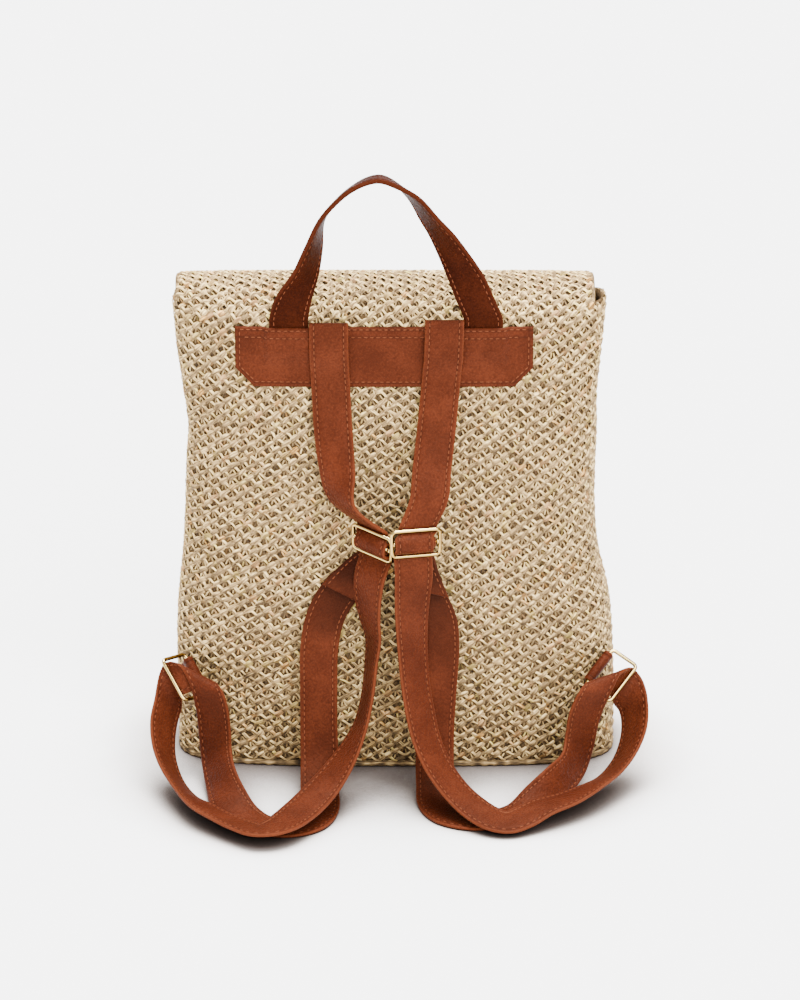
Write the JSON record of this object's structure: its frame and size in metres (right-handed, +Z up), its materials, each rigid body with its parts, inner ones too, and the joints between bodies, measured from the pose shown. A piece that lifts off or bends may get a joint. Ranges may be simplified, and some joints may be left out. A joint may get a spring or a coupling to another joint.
{
  "type": "woven straw backpack",
  "caption": "Soft woven straw backpack with a fold-over flap, leather yoke band, arched carry handle and two looped shoulder straps with metal sliders and rings.",
  "frame": {"origin": "middle of the flat base, on the floor", "axes": "+Z up, -Y the strap side that lies on the wearer's back, +Y the flap side, +X to the right as seen from the strap side"},
  "size_m": [0.3257, 0.2437, 0.3986],
  "materials": {
    "straw": "woven, matte",
    "leather": "soft sheen",
    "gold metal": "polished"
  },
  "bodies": {
    "root": {"bag_body": "straw", "flap": "straw", "yoke_band": "leather", "carry_handle": "leather", "shoulder_strap_left": "leather", "shoulder_strap_right": "leather", "slider_left": "gold metal", "slider_right": "gold metal", "strap_ring_left": "gold metal", "strap_ring_right": "gold metal", "ring_tab_left": "leather", "ring_tab_right": "leather"}
  },
  "joints": []
}
